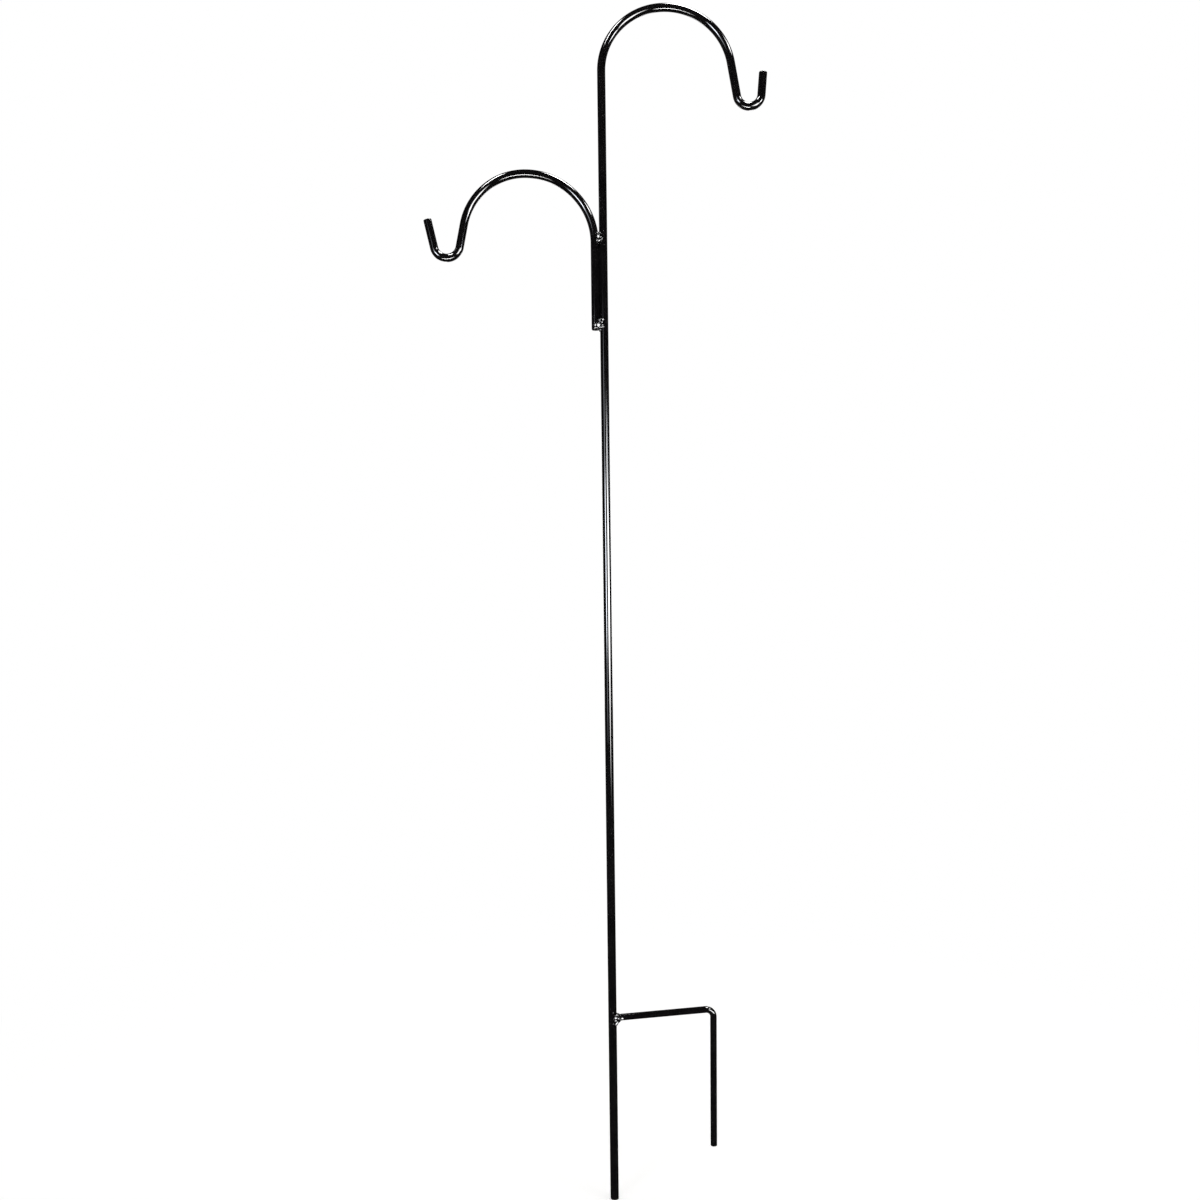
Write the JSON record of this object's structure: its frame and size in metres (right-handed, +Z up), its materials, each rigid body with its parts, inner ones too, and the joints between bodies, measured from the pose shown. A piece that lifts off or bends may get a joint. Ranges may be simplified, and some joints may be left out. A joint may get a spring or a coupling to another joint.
{
  "type": "shepherds hook",
  "caption": "Tall garden stake with a high crook on one side, a lower crook welded to the other and a step-in foot prong, for hanging plant pots, feeders and lanterns.",
  "frame": {"origin": "where the foot bar's axis meets the upright's axis, level with the ground that the stake is pushed into", "axes": "+Z up along the upright, +X towards the high crook and the foot prong, -Y the front"},
  "size_m": [0.5292, 0.016, 1.829],
  "materials": {
    "main_upright_enamel": "gloss",
    "side_hook_enamel": "gloss",
    "foot_prong_enamel": "gloss",
    "upper_weld_front_enamel": "gloss",
    "upper_weld_back_enamel": "gloss",
    "lower_weld_front_enamel": "gloss",
    "lower_weld_back_enamel": "gloss",
    "lower_weld_toe_enamel": "gloss",
    "foot_weld_enamel": "gloss"
  },
  "bodies": {
    "root": {"main_upright": "main_upright_enamel", "side_hook": "side_hook_enamel", "foot_prong": "foot_prong_enamel", "upper_weld_front": "upper_weld_front_enamel", "upper_weld_back": "upper_weld_back_enamel", "lower_weld_front": "lower_weld_front_enamel", "lower_weld_back": "lower_weld_back_enamel", "lower_weld_toe": "lower_weld_toe_enamel", "foot_weld": "foot_weld_enamel"}
  },
  "joints": []
}
